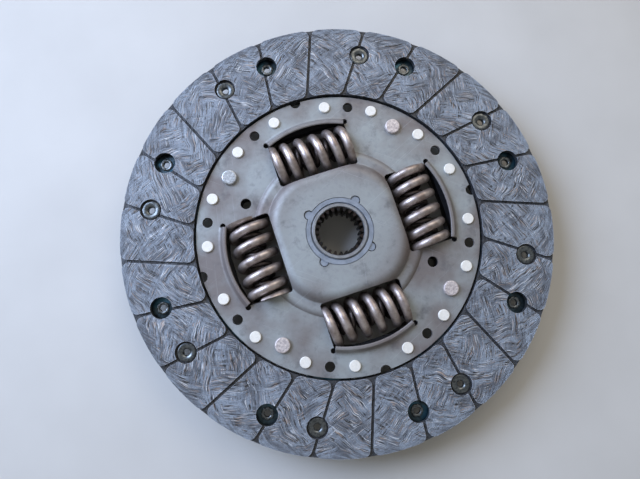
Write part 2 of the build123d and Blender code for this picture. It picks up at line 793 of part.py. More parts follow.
with BuildPart() as thrust_washer:
    add(
        washer(
            front_side,
            hub_radius + thrust_washer_gap,
            bush_collar_radius + thrust_washer_reach,
            washer_low,
            thrust_washer_thickness,
        )
    )
thrust_washer.part.label = "thrust_washer"
export_step(thrust_washer.part, "parts/thrust_washer.step")

disc_spring_bore = hub_radius + disc_spring_gap
disc_spring_radius = bush_collar_radius + disc_spring_reach
with BuildPart() as disc_spring:
    with BuildSketch(section(front_side)):
        with BuildLine():
            Polyline(
                (disc_spring_radius, spring_low),
                (disc_spring_radius, spring_low + disc_spring_thickness),
                (disc_spring_bore, spring_top),
                (disc_spring_bore, spring_top - disc_spring_thickness),
                close=True,
            )
        make_face()
    revolve(axis=Axis.Z)
disc_spring.part.label = "disc_spring"
export_step(disc_spring.part, "parts/disc_spring.step")
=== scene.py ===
import bpy
import numpy as np
from mathutils import Matrix, Vector


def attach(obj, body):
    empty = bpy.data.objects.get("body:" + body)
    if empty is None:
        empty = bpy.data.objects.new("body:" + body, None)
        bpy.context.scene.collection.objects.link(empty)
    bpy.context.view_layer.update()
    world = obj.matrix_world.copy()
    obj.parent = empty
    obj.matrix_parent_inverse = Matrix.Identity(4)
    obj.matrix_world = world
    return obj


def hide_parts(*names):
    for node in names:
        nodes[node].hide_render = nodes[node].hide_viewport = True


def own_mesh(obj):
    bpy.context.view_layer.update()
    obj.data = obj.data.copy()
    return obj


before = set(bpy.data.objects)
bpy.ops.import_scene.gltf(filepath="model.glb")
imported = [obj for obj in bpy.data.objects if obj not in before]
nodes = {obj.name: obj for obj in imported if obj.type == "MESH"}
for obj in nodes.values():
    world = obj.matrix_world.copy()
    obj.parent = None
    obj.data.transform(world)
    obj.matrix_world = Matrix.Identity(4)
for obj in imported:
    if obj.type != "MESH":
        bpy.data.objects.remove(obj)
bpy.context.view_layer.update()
mm = 0.001
scene = bpy.context.scene
print("frame loaded:", len(nodes), "nodes")


def linear(hexColour):
    # sRGB hex to linear: ((c + 0.055) / 1.055) ^ 2.4 above 0.04045, c / 12.92 below
    channels = [int(hexColour[k:k + 2], 16) / 255 for k in (0, 2, 4)]
    return tuple(c / 12.92 if c <= 0.04045 else ((c + 0.055) / 1.055) ** 2.4 for c in channels) + (1.0,)


def addNode(tree, kind, inputs=(), output=0, **settings):
    # One node with its settings and links. Inputs are a list in the node's own order, or a dictionary
    # by name or number; a socket is linked and any other value set. Gives back the output that is
    # asked for, or the node itself where that is None.
    made = tree.nodes.new("ShaderNode" + kind)
    for name, value in settings.items():
        setattr(made, name, value)
    pairs = inputs.items() if isinstance(inputs, dict) else enumerate(inputs)
    for name, value in pairs:
        if isinstance(value, bpy.types.NodeSocket):
            tree.links.new(value, made.inputs[name])
        else:
            made.inputs[name].default_value = value
    return made if output is None else made.outputs[output]


def newMaterial(name, shader):
    # an empty node tree with one Principled shader, its plain values set on its own sockets, and the
    # piece's own coordinates in mm
    made = bpy.data.materials.new(name)
    made.use_nodes = True
    tree = made.node_tree
    tree.nodes.clear()
    bsdf = addNode(tree, "BsdfPrincipled", shader, None)
    addNode(tree, "OutputMaterial", {"Surface": bsdf.outputs[0]}, None)
    place = addNode(tree, "TexCoord", output="Object")
    inMm = addNode(tree, "VectorMath", {0: place, "Scale": 1 / mm}, operation="SCALE")
    return made, tree, bsdf, inMm


def layColours(tree, first, layers):
    # the first colour with others laid over it, each where its amount is up
    colour = linear(first)
    for amount, hexColour in layers:
        colour = addNode(tree, "Mix", {0: amount, 6: colour, 7: linear(hexColour)}, 2, data_type="RGBA")
    return colour


def finishMaterial(tree, bsdf, colour, relief, roughness=None):
    # relief lists heights between 0 and 1, each with how many mm it stands
    tree.links.new(colour, bsdf.inputs["Base Color"])
    if roughness is not None:
        tree.links.new(roughness, bsdf.inputs["Roughness"])
    normal = None
    for height, depth in relief:
        layer = {"Height": height, "Strength": 1.0, "Distance": depth * mm}
        if normal is not None:
            layer["Normal"] = normal
        normal = addNode(tree, "Bump", layer)
    tree.links.new(normal, bsdf.inputs["Normal"])


def fromAxis(tree, inMm):
    # distance from the hub's axis in mm: the length of (x, y, 0)
    flat = addNode(tree, "VectorMath", [inMm, (1, 1, 0)], operation="MULTIPLY")
    return addNode(tree, "VectorMath", [flat], "Value", operation="LENGTH")


seedStep = (3.7, 9.1, 1.3)  # how far apart the patterns of two seeds lie


def strokes(tree, where, turn, size, seed):
    # noise drawn out into strokes, size their length along the turned x axis and their width
    turned = addNode(tree, "VectorRotate", {"Vector": where, "Angle": np.radians(turn)},
                     rotation_type="Z_AXIS")
    shift = tuple(step * seed for step in seedStep)
    drawn = addNode(tree, "VectorMath", [turned, (1 / size[0], 1 / size[1], 0), shift],
                    operation="MULTIPLY_ADD")
    return addNode(tree, "TexNoise", {"Vector": drawn, "Scale": 1.0, "Detail": 1.5})


def addPiece(mesh, name, material, body, sharpAbove=35):
    mesh.polygons.foreach_set("use_smooth", np.ones(len(mesh.polygons), bool))
    mesh.set_sharp_from_angle(angle=np.radians(sharpAbove))
    mesh.update()
    piece = bpy.data.objects.new(name, mesh)
    scene.collection.objects.link(piece)
    mesh.materials.append(material)
    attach(piece, body)
    return piece


# In these dictionaries sizes are in mm and turns in degrees, and a stroke is (length, width). A fade
# is (from, to, first, last): what runs from one to the other becomes first to last, held at both.
# The real grain of all these surfaces is too fine to show here, and is drawn coarser so that it does.

# Moulded yarn facing: resin over yarn that was wound round the ring in long waves, so that the cut
# strands show as short strokes in two crossing directions, with dark crevices and ends of copper wire
facingLook = {
    "resin": "8A94A0", "shade": "565B63", "crevice": "141212", "yarn": "D8DADC", "copper": "AE9480",
    "edgeWearAndHighlight": "B9BEC8", "middle": 100.15, "waveReach": 21.5, "waveSlope": 0.85, "wander": 9.0,
    "wanderSize": 13.0, "paddleTurn": 12.5, "grooveTurn": 7.5, "grooveOffset": 21.666, "grooveLean": 11.0,
    "bedStroke": (9.0, 2.4), "creviceStroke": (4.5, 0.9), "yarnStroke": (7.0, 0.55),
    "wireStroke": (4.5, 0.6), "patch": 10.0, "cloud": 11.0, "grain": 0.7, "edge": 0.5,
    "patchFade": (0.40, 0.60, 0.0, 1.0), "cloudFade": (0.35, 0.65, -0.10, 0.10),
    "lightFade": (0.34, 0.64, 0.0, 1.0), "grainFade": (0.35, 0.65, 0.0, 1.0),
    "poreFade": (0.0, 0.5, 0.3, 0.0), "strandFold": 0.07, "gapFade": (0.0, 0.012, 0.45, 0.0),
    "creviceFade": (0.55, 0.64, 0.0, 0.95), "yarnFade": (0.58, 0.67, 0.0, 0.85),
    "wireFade": (0.59, 0.67, 0.0, 0.6), "edgeFade": (0.80, 0.98, 0.7, 0.0),
    "rimFade": (116.8, 117.4, 1.0, 0.15), "recessShadeFade": (3.5, 4.3, 0.85, 0.0),
    "roughFade": (0.35, 0.65, 0.56, 0.38), "pitFade": (0.5, 0.68, 1.0, 0.0),
    "ridgeFade": (0.52, 0.70, 0.0, 1.0), "grainHeight": 0.06, "pitDepth": 0.22, "ridgeHeight": 0.12}


def windings(tree, inMm):
    # Each place on the ring as (mm round the mean circle, mm across), across = A asin((r - middle) / A),
    # in which a yarn wound as a sine wave is a straight line. The count round the ring starts in a
    # groove, whose line has the polar angle asin(grooveOffset / r) - grooveLean, so no seam shows.
    # Two such places are given back, for yarn that leans one way and the other, and both wander a little.
    look = facingLook
    radius = fromAxis(tree, inMm)
    turned = addNode(tree, "VectorRotate", {"Vector": inMm, "Angle": np.radians(-look["paddleTurn"])},
                     rotation_type="Z_AXIS")
    parts = addNode(tree, "SeparateXYZ", [turned], None).outputs
    side = addNode(tree, "Math", [parts[2]], operation="SIGN")  # the rear ring is the front one turned over
    upward = addNode(tree, "Math", [parts[1], side], operation="MULTIPLY")
    angle = addNode(tree, "Math", [upward, parts[0]], operation="ARCTAN2")
    sine = addNode(tree, "Math", [look["grooveOffset"], radius], operation="DIVIDE")
    groove = addNode(tree, "Math", [sine], operation="ARCSINE")
    fromGroove = addNode(tree, "Math", [angle, groove], operation="SUBTRACT")
    start = np.radians(look["grooveTurn"] - look["grooveLean"])
    fromGroove = addNode(tree, "Math", [fromGroove, start], operation="SUBTRACT")
    wrapped = addNode(tree, "Math", [fromGroove, 2 * np.pi, 0.0], operation="WRAP")
    around = addNode(tree, "Math", [wrapped, look["middle"]], operation="MULTIPLY")
    fromMiddle = addNode(tree, "Math", [radius, look["middle"]], operation="SUBTRACT")
    share = addNode(tree, "Math", [fromMiddle, look["waveReach"]], operation="DIVIDE")
    bent = addNode(tree, "Math", [share], operation="ARCSINE")
    across = addNode(tree, "Math", [bent, look["waveReach"]], operation="MULTIPLY")
    waves = addNode(tree, "TexNoise", {
        "Vector": inMm, "Scale": 1 / look["wanderSize"], "Detail": 1.5}, "Color")
    wander = look["wander"]
    pushed = addNode(tree, "VectorMath", [waves, (wander, wander, 0), (-wander / 2, -wander / 2, 0)],
                     operation="MULTIPLY_ADD")
    placed = []
    for slope in (look["waveSlope"], -look["waveSlope"]):
        climb = addNode(tree, "Math", [around, slope], operation="MULTIPLY")
        crossed = addNode(tree, "Math", [across, climb], operation="SUBTRACT")
        flat = addNode(tree, "CombineXYZ", [around, crossed])
        placed.append(addNode(tree, "VectorMath", [flat, pushed], operation="ADD"))
    return placed


def yarnStrokes(tree, placed, patch, size, seed):
    # strokes along one winding in some patches and along the other, which crosses it, in the rest
    one = strokes(tree, placed[0], 0, size, seed)
    other = strokes(tree, placed[1], 0, size, seed + 20)  # far from the seeds of the first
    return addNode(tree, "Mix", {0: patch, 2: one, 3: other}, data_type="FLOAT")


def makeFacing():
    look = facingLook
    made, tree, bsdf, inMm = newMaterial("frictionComposite", {"Specular IOR Level": 0.7})
    placed = windings(tree, inMm)
    patch = addNode(tree, "TexNoise", {"Vector": inMm, "Scale": 1 / look["patch"]})
    patch = addNode(tree, "MapRange", [patch, *look["patchFade"]])
    bed = yarnStrokes(tree, placed, patch, look["bedStroke"], 1)
    crevices = yarnStrokes(tree, placed, patch, look["creviceStroke"], 2)
    pale = yarnStrokes(tree, placed, patch, look["yarnStroke"], 3)
    copper = yarnStrokes(tree, placed, patch, look["wireStroke"], 4)

    # resin, lighter on the strands' backs and in clouds, with dark pores
    clouds = addNode(tree, "TexNoise", {"Vector": inMm, "Scale": 1 / look["cloud"]})
    clouds = addNode(tree, "MapRange", [clouds, *look["cloudFade"]])
    backs = addNode(tree, "Math", [bed, clouds], operation="ADD")
    light = addNode(tree, "MapRange", [backs, *look["lightFade"]])
    grain = addNode(tree, "TexNoise", {"Vector": inMm, "Scale": 1 / look["grain"], "Detail": 3.0})
    grain = addNode(tree, "MapRange", [grain, *look["grainFade"]])
    pores = addNode(tree, "MapRange", [grain, *look["poreFade"]])

    # a thin dark gap runs along every strand, where the bed's noise, folded to and fro, comes near
    # zero; gaps, crevices, bare yarn and wire fade out in the smooth band along the rim
    folded = addNode(tree, "Math", [bed, look["strandFold"]], operation="PINGPONG")
    gaps = addNode(tree, "MapRange", [folded, *look["gapFade"]])
    inside = addNode(tree, "MapRange", [fromAxis(tree, inMm), *look["rimFade"]])
    dark = addNode(tree, "MapRange", [crevices, *look["creviceFade"]])
    dark = addNode(tree, "Math", [gaps, dark], operation="MAXIMUM")
    dark = addNode(tree, "Math", [dark, inside], operation="MULTIPLY")
    bright = addNode(tree, "MapRange", [pale, *look["yarnFade"]])
    bright = addNode(tree, "Math", [bright, inside], operation="MULTIPLY")
    wire = addNode(tree, "MapRange", [copper, *look["wireFade"]])
    wire = addNode(tree, "Math", [wire, inside], operation="MULTIPLY")

    # edges are painted pale where the rounded normal leaves the true one, partly wear and partly a painted
    # highlight
    rounded = addNode(tree, "Bevel", {"Radius": look["edge"] * mm}, samples=4)
    straight = addNode(tree, "NewGeometry", output="True Normal")
    lean = addNode(tree, "VectorMath", [rounded, straight], "Value", operation="DOT_PRODUCT")
    rubbed = addNode(tree, "MapRange", [lean, *look["edgeFade"]])
    # below the faces, in the grooves and holes, the lining is painted dark by its depth: painted shade
    height = addNode(tree, "SeparateXYZ", [inMm], 2)
    away = addNode(tree, "Math", [height], operation="ABSOLUTE")
    paintedRecessShade = addNode(tree, "MapRange", [away, *look["recessShadeFade"]])

    colour = layColours(tree, look["shade"], [
        (light, look["resin"]), (pores, look["crevice"]), (dark, look["crevice"]), (bright, look["yarn"]),
        (wire, look["copper"]), (rubbed, look["edgeWearAndHighlight"]), (paintedRecessShade, look["crevice"])])
    roughness = addNode(tree, "MapRange", [bed, *look["roughFade"]])
    pits = addNode(tree, "MapRange", [crevices, *look["pitFade"]])
    ridges = addNode(tree, "MapRange", [pale, *look["ridgeFade"]])
    finishMaterial(tree, bsdf, colour, [(grain, look["grainHeight"]), (pits, look["pitDepth"]),
                                        (ridges, look["ridgeHeight"])], roughness)
    return made


# Phosphated pressing: satin grey crystals with faint brown clouds, smears of old dirt and handling
# scratches, which are drawn wider than real too
plateLook = {
    "grey": "9EA3A3", "brown": "776D69", "smudge": "4C4B4F", "scratch": "C8CCD0", "innerShade": "1E1C1C",
    "grain": 0.25, "mottle": 3.0, "smear": 9.0, "cloud": 30.0, "middle": -2.65,
    "scratchTurns": (38, -24, 101), "scratchStroke": (60.0, 0.35),
    "cloudFade": (0.38, 0.60, 0.0, 0.85), "nearHubFade": (26.0, 38.0, 0.2, 1.0),
    "mottleFade": (0.30, 0.70, 0.0, 1.0), "spotFade": (0.0, 0.5, 0.14, 0.0),
    "smearFade": (0.56, 0.72, 0.0, 0.5), "slopeFade": (0.75, 0.99, 0.5, 0.0),
    "lipHeightFade": (3.2, 3.7, 0.0, 0.6), "lipRadiusFade": (53.0, 54.0, 0.0, 1.0),
    "innerSideFade": (-0.6, -0.2, 0.9, 0.0), "innerShadeReachFade": (61.6, 69.6, 1.0, 0.2),
    "scratchFade": (0.70, 0.76, 0.0, 0.3), "roughFade": (0.0, 1.0, 0.62, 0.50),
    "grainHeight": 0.02, "mottleHeight": 0.03}


def makePlate():
    look = plateLook
    made, tree, bsdf, inMm = newMaterial("phosphatedPressing", {"Metallic": 0.35})
    radius = fromAxis(tree, inMm)
    cloud = addNode(tree, "TexNoise", {"Vector": inMm, "Scale": 1 / look["cloud"], "Detail": 4.0})
    cloud = addNode(tree, "MapRange", [cloud, *look["cloudFade"]])
    outer = addNode(tree, "MapRange", [radius, *look["nearHubFade"]])
    cloud = addNode(tree, "Math", [cloud, outer], operation="MULTIPLY")
    mottle = addNode(tree, "TexNoise", {
        "Vector": inMm, "Scale": 1 / look["mottle"], "Detail": 5.0, "Roughness": 0.65})
    mottle = addNode(tree, "MapRange", [mottle, *look["mottleFade"]])
    spots = addNode(tree, "MapRange", [mottle, *look["spotFade"]])
    smear = addNode(tree, "TexNoise", {
        "Vector": inMm, "Scale": 1 / look["smear"], "Detail": 4.0, "Roughness": 0.6})
    smear = addNode(tree, "MapRange", [smear, *look["smearFade"]])

    # the slopes are darkened brown by their steepness, partly dirt and partly painted shade, and the tops
    # of the curled lips are tinted brown
    normal = addNode(tree, "NewGeometry", output="Normal")
    upward = addNode(tree, "SeparateXYZ", [normal], 2)
    level = addNode(tree, "Math", [upward], operation="ABSOLUTE")
    slopeShadeAndLipTint = addNode(tree, "MapRange", [level, *look["slopeFade"]])
    height = addNode(tree, "SeparateXYZ", [inMm], 2)
    raised = addNode(tree, "MapRange", [height, *look["lipHeightFade"]])
    atLip = addNode(tree, "MapRange", [radius, *look["lipRadiusFade"]])
    onLip = addNode(tree, "Math", [raised, atLip], operation="MULTIPLY")
    slopeShadeAndLipTint = addNode(tree, "Math", [slopeShadeAndLipTint, onLip], operation="MAXIMUM")

    # the sides that face the damper's middle are painted near-black: painted shade inside the damper
    fromMiddle = addNode(tree, "Math", [height, look["middle"]], operation="SUBTRACT")
    half = addNode(tree, "Math", [fromMiddle], operation="SIGN")
    outward = addNode(tree, "Math", [upward, half], operation="MULTIPLY")
    innerSide = addNode(tree, "MapRange", [outward, *look["innerSideFade"]])
    reach = addNode(tree, "MapRange", [radius, *look["innerShadeReachFade"]])
    paintedInnerShade = addNode(tree, "Math", [innerSide, reach], operation="MULTIPLY")

    layers = [(cloud, look["brown"]), (spots, look["smudge"]), (smear, look["smudge"]),
              (slopeShadeAndLipTint, look["brown"]), (paintedInnerShade, look["innerShade"])]
    for seed, turn in enumerate(look["scratchTurns"], 1):
        scratch = strokes(tree, inMm, turn, look["scratchStroke"], seed)
        layers.append((addNode(tree, "MapRange", [scratch, *look["scratchFade"]]), look["scratch"]))
    colour = layColours(tree, look["grey"], layers)
    roughness = addNode(tree, "MapRange", [mottle, *look["roughFade"]])
    grain = addNode(tree, "TexNoise", {"Vector": inMm, "Scale": 1 / look["grain"]})
    relief = [(grain, look["grainHeight"]), (mottle, look["mottleHeight"])]
    finishMaterial(tree, bsdf, colour, relief, roughness)
    return made


# Blued spring steel strip: a thin dark oxide with blue blooms and a cold bright sheen
cushionLook = {
    "dark": "1E2428", "pale": "485860", "blue": "3E748C", "patch": 5.0, "bloom": 9.0, "grain": 0.6,
    "patchFade": (0.38, 0.62, 0.0, 1.0), "bloomFade": (0.52, 0.62, 0.0, 0.4), "grainHeight": 0.02}


def makeCushionSteel():
    look = cushionLook
    made, tree, bsdf, inMm = newMaterial("bluedSpringSteel", {"Metallic": 0.9, "Roughness": 0.3})
    patches = addNode(tree, "TexNoise", {"Vector": inMm, "Scale": 1 / look["patch"], "Detail": 3.0})
    patches = addNode(tree, "MapRange", [patches, *look["patchFade"]])
    bloom = addNode(tree, "TexNoise", {"Vector": inMm, "Scale": 1 / look["bloom"], "Detail": 1.0})
    bloom = addNode(tree, "MapRange", [bloom, *look["bloomFade"]])
    colour = layColours(tree, look["dark"], [(patches, look["pale"]), (bloom, look["blue"])])
    grain = addNode(tree, "TexNoise", {"Vector": inMm, "Scale": 1 / look["grain"]})
    finishMaterial(tree, bsdf, colour, [(grain, look["grainHeight"])])
    return made


# Turned and broached hub: grey sleeve with rings left by the tool, drawn coarser than real, rust in the
# bore, which is painted dark as shade, and a flange painted near-black as the shade between the plates
hubLook = {
    "steel": "A5A8AC", "stain": "6D6A68", "scale": "222226", "paintedBoreShade": "232323", "rust": "3C302A",
    "patch": 3.0, "grain": 0.5, "ringPitch": 0.7, "ringDepth": 0.012, "grainHeight": 0.02,
    "patchFade": (0.42, 0.64, 0.0, 1.0), "stainFade": (0.0, 1.0, 0.0, 0.35),
    "boreFade": (13.2, 13.4, 1.0, 0.0), "flangeFade": (16.2, 16.6, 0.0, 1.0),
    "roughFade": (0.0, 1.0, 0.42, 0.6)}


def makeHubSteel():
    look = hubLook
    made, tree, bsdf, inMm = newMaterial("turnedHubSteel", {"Metallic": 0.7})
    radius = fromAxis(tree, inMm)
    patches = addNode(tree, "TexNoise", {
        "Vector": inMm, "Scale": 1 / look["patch"], "Detail": 4.0, "Roughness": 0.6})
    patches = addNode(tree, "MapRange", [patches, *look["patchFade"]])
    stained = addNode(tree, "MapRange", [patches, *look["stainFade"]])
    sleeve = layColours(tree, look["steel"], [(stained, look["stain"])])
    # the bore is painted near-black as the shade inside it, with rust patches laid over that
    bore = layColours(tree, look["paintedBoreShade"], [(patches, look["rust"])])
    inBore = addNode(tree, "MapRange", [radius, *look["boreFade"]])
    colour = addNode(tree, "Mix", {0: inBore, 6: sleeve, 7: bore}, 2, data_type="RGBA")
    # the flange is painted near-black: painted shade, for the shade it lies in between the plates
    onFlange = addNode(tree, "MapRange", [radius, *look["flangeFade"]])
    colour = addNode(tree, "Mix", {0: onFlange, 6: colour, 7: linear(look["scale"])}, 2, data_type="RGBA")
    roughness = addNode(tree, "MapRange", [onFlange, *look["roughFade"]])
    # the rings' height is the sine of the distance from the axis, brought to between 0 and 1
    phase = addNode(tree, "Math", [radius, 2 * np.pi / look["ringPitch"]], operation="MULTIPLY")
    rings = addNode(tree, "Math", [phase], operation="SINE")
    rings = addNode(tree, "MapRange", [rings, -1.0, 1.0, 0.0, 1.0])
    grain = addNode(tree, "TexNoise", {"Vector": inMm, "Scale": 1 / look["grain"]})
    relief = [(rings, look["ringDepth"]), (grain, look["grainHeight"])]
    finishMaterial(tree, bsdf, colour, relief, roughness)
    return made


# Oil-tempered spring wire: smooth grey-brown scale, lighter where it was rubbed; the inner springs get a
# darker copy of it, painted shade for their place inside the outer springs
wireLook = {
    "oilTemperedWire": {"rubbed": "CABFBA", "scale": "94867F"},
    "shadedInnerSpringWire": {"rubbed": "6E6562", "scale": "453E3B"},
    "patch": 4.0, "grain": 0.5, "patchFade": (0.35, 0.65, 0.0, 1.0), "roughFade": (0.0, 1.0, 0.47, 0.41),
    "grainHeight": 0.012}


def makeSpringSteel(name):
    look = wireLook
    made, tree, bsdf, inMm = newMaterial(name, {"Metallic": 0.85})
    patches = addNode(tree, "TexNoise", {"Vector": inMm, "Scale": 1 / look["patch"], "Detail": 4.0})
    patches = addNode(tree, "MapRange", [patches, *look["patchFade"]])
    colour = layColours(tree, look[name]["scale"], [(patches, look[name]["rubbed"])])
    roughness = addNode(tree, "MapRange", [patches, *look["roughFade"]])
    grain = addNode(tree, "TexNoise", {"Vector": inMm, "Scale": 1 / look["grain"], "Detail": 3.0})
    finishMaterial(tree, bsdf, colour, [(grain, look["grainHeight"])], roughness)
    return made


# Plated rivets and pins: pale and matt where the riveting tool pressed them, and the tubes dark and
# shiny; shader is what the Principled shader's own sockets get
platedLook = {
    "zincPlatedRivet": {
        "clean": "F2EEE4", "dull": "E6E2D8", "shader": {"Metallic": 0.1, "Roughness": 0.5}},
    "tarnishedZincPin": {
        "clean": "E4DAD4", "dull": "ABA0A0", "shader": {"Metallic": 0.35, "Roughness": 0.42}},
    "brightZincPin": {
        "clean": "DADDDF", "dull": "9C9FA2", "shader": {"Metallic": 0.7, "Roughness": 0.34}},
    "dullPlatedTube": {
        "clean": "7A7E7E", "dull": "484C4E", "shader": {"Metallic": 0.85, "Roughness": 0.28}},
    "patch": 1.4, "grain": 0.4, "patchFade": (0.35, 0.62, 0.0, 1.0), "grainHeight": 0.02}


def makePlated(name):
    look = platedLook
    made, tree, bsdf, inMm = newMaterial(name, look[name]["shader"])
    patches = addNode(tree, "TexNoise", {
        "Vector": inMm, "Scale": 1 / look["patch"], "Detail": 4.0, "Roughness": 0.7})
    patches = addNode(tree, "MapRange", [patches, *look["patchFade"]])
    colour = layColours(tree, look[name]["dull"], [(patches, look[name]["clean"])])
    grain = addNode(tree, "TexNoise", {"Vector": inMm, "Scale": 1 / look["grain"], "Detail": 3.0})
    finishMaterial(tree, bsdf, colour, [(grain, look["grainHeight"])])
    return made


# Moulded parts: grey filled nylon bushes with a satin skin, and the brown, matt rubbing ring inside
mouldedLook = {
    "filledNylon": {"main": "8E959E", "shade": "7B828B", "shader": {"Roughness": 0.45}},
    "mouldedRubbingRing": {"main": "5E4F45", "shade": "443A34", "shader": {"Roughness": 0.7}},
    "patch": 3.5, "grain": 0.4, "patchFade": (0.35, 0.65, 0.0, 1.0), "grainHeight": 0.02}


def makeMoulded(name):
    look = mouldedLook
    made, tree, bsdf, inMm = newMaterial(name, look[name]["shader"])
    patches = addNode(tree, "TexNoise", {"Vector": inMm, "Scale": 1 / look["patch"], "Detail": 3.0})
    patches = addNode(tree, "MapRange", [patches, *look["patchFade"]])
    colour = layColours(tree, look[name]["shade"], [(patches, look[name]["main"])])
    grain = addNode(tree, "TexNoise", {"Vector": inMm, "Scale": 1 / look["grain"]})
    finishMaterial(tree, bsdf, colour, [(grain, look["grainHeight"])])
    return made


frictionComposite = makeFacing()
phosphatedPressing = makePlate()
bluedSpringSteel = makeCushionSteel()
turnedHubSteel = makeHubSteel()
oilTemperedWire = makeSpringSteel("oilTemperedWire")
# the inner springs' wire is a darker copy of the same wire: painted shade
shadedInnerWire = makeSpringSteel("shadedInnerSpringWire")
zincPlate = makePlated("zincPlatedRivet")
pinPlate = makePlated("tarnishedZincPin")
brightPlate = makePlated("brightZincPin")
tubePlate = makePlated("dullPlatedTube")
filledNylon = makeMoulded("filledNylon")
rubbingRing = makeMoulded("mouldedRubbingRing")

nodeMaterials = {
    "front_facing": frictionComposite, "rear_facing": frictionComposite,
    "front_facing_rivets": tubePlate, "rear_facing_rivets": tubePlate,
    "cover_plate": phosphatedPressing, "rear_plate": phosphatedPressing,
    "hub": turnedHubSteel, "segment_rivets": zincPlate,
    "front_bush": filledNylon, "rear_bush": filledNylon,
    "friction_ring": rubbingRing, "thrust_washer": bluedSpringSteel, "disc_spring": bluedSpringSteel,
}
for k in range(8):
    nodeMaterials[f"cushion_segment_{k + 1}"] = bluedSpringSteel
for k in range(4):
    nodeMaterials[f"stop_pin_{k + 1}"] = pinPlate
    nodeMaterials[f"outer_spring_{k + 1}"] = oilTemperedWire
    nodeMaterials[f"inner_spring_{k + 1}"] = shadedInnerWire
nodeMaterials["stop_pin_2"] = brightPlate  # one pin kept its bright plating
for nodeName, material in nodeMaterials.items():
    nodes[nodeName].data.materials.clear()
    nodes[nodeName].data.materials.append(material)
print("materials made:", len(bpy.data.materials))


# Damper springs: circle is where their axes lie, tip how thick the wire's ground end is, and phases
# how far each is turned about its own axis
springCommon = {"circle": 47.5, "middle": -2.65, "length": 45.6, "maxTwist": 8.5, "endTurns": 1.06,
                "aroundWire": 18, "perTurn": 40, "easing": 9}
outerSpring = {"steel": oilTemperedWire, "radius": 12.5, "wire": 5.0, "activeTurns": 4, "endPitch": 6.3,
               "tip": 1.4, "handed": 1, "phases": (180, 180, 0, 180)}
innerSpring = {"steel": shadedInnerWire, "radius": 7.0, "wire": 3.0, "activeTurns": 7, "endPitch": 3.6,
               "tip": 0.8, "handed": -1, "phases": (0, 0, 0, 0)}


def coilPoints(look):
    # centre line (R cos a, R sin a, h): h climbs by endPitch a turn at both ends and evenly between,
    # averaged over a few points so that the pitch changes gently; round it a circle of the wire's
    # radius, and what passes the ends is pressed flat on them
    coilRadius = look["radius"] - look["wire"] / 2
    endTurns, activeTurns = springCommon["endTurns"], look["activeTurns"]
    half = springCommon["length"] / 2
    wireEnd = half + look["wire"] / 2 - look["tip"]
    endHeight = look["endPitch"] * endTurns
    steps = int((activeTurns + 2 * endTurns) * springCommon["perTurn"])
    turn = np.linspace(-endTurns, activeTurns + endTurns, steps + 1)
    height = np.interp(turn, [-endTurns, 0, activeTurns, activeTurns + endTurns],
                       [-wireEnd, -wireEnd + endHeight, wireEnd - endHeight, wireEnd])
    easing = springCommon["easing"]
    height = np.pad(height, easing // 2, "reflect", reflect_type="odd")
    height = np.convolve(height, np.ones(easing) / easing, "valid")
    angle = 2 * np.pi * turn * look["handed"]
    centre = np.stack([coilRadius * np.cos(angle), coilRadius * np.sin(angle), height], axis=1)
    along = np.gradient(centre, axis=0)
    along /= np.linalg.norm(along, axis=1, keepdims=True)
    outward = np.stack([np.cos(angle), np.sin(angle), np.zeros_like(angle)], axis=1)
    side = np.cross(along, outward)
    around = np.linspace(0, 2 * np.pi, springCommon["aroundWire"], endpoint=False) * look["handed"]
    ring = outward[:, None] * np.cos(around)[:, None] + side[:, None] * np.sin(around)[:, None]
    points = centre[:, None] + ring * look["wire"] / 2
    points[..., 2] = np.clip(points[..., 2], -half, half)
    return points


def seatSpring(points, turn, phase):
    # turned by its phase about its own axis, then stood in the window at turn: x to +Z, y outwards
    # and z round the disc
    c, s = np.cos(np.radians(phase)), np.sin(np.radians(phase))
    x = points[..., 0] * c - points[..., 1] * s
    y = points[..., 0] * s + points[..., 1] * c
    z = points[..., 2]
    outX, outY = np.cos(turn), np.sin(turn)
    reach = springCommon["circle"] + y
    placed = [reach * outX - z * outY, reach * outY + z * outX, springCommon["middle"] + x]
    return np.stack(placed, axis=-1) * mm


def wireMesh(name, points):
    # points is (along, across, 3) in metres: quads join each point to its next along and across, and
    # one flat face closes each end
    index = np.arange(points.shape[0] * points.shape[1]).reshape(points.shape[:2])
    beside = np.roll(index, -1, axis=1)
    quads = np.stack([index[:-1], beside[:-1], beside[1:], index[1:]], axis=-1).reshape(-1, 4)
    ends = [index[0, ::-1].tolist(), index[-1].tolist()]
    made = bpy.data.meshes.new(name)
    made.from_pydata(points.reshape(-1, 3).tolist(), [], quads.tolist() + ends)
    return made


def addSpring(k, look, kind):
    name = f"{kind}Coil{k + 1}"
    turn = np.pi / 2 * k
    points = seatSpring(coilPoints(look), turn, look["phases"][k])
    spring = addPiece(wireMesh(name, points), name, look["steel"], "springs")
    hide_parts(f"{kind}_spring_{k + 1}")
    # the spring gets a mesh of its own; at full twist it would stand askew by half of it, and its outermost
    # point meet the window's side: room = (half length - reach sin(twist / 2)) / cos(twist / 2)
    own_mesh(spring)


for k in range(4):
    addSpring(k, outerSpring, "outer")
    addSpring(k, innerSpring, "inner")
print("springs wound")


# Tubular rivets: dished head in the ring, shank, and an end rolled over the cushion sheet; spin is how
# much further each copy is turned about its own axis
tubeRivet = {"circle": 104.8, "count": 8, "spin": 17.0, "head": 5.0, "seat": 2.2, "headHeight": 0.8,
             "dish": 0.4, "bore": 1.75, "shank": 2.75, "sheet": 0.1, "roll": 3.5, "rollHeight": 0.6,
             "splits": 6, "splitDepth": 0.55, "splitSharp": 24, "around": 48}


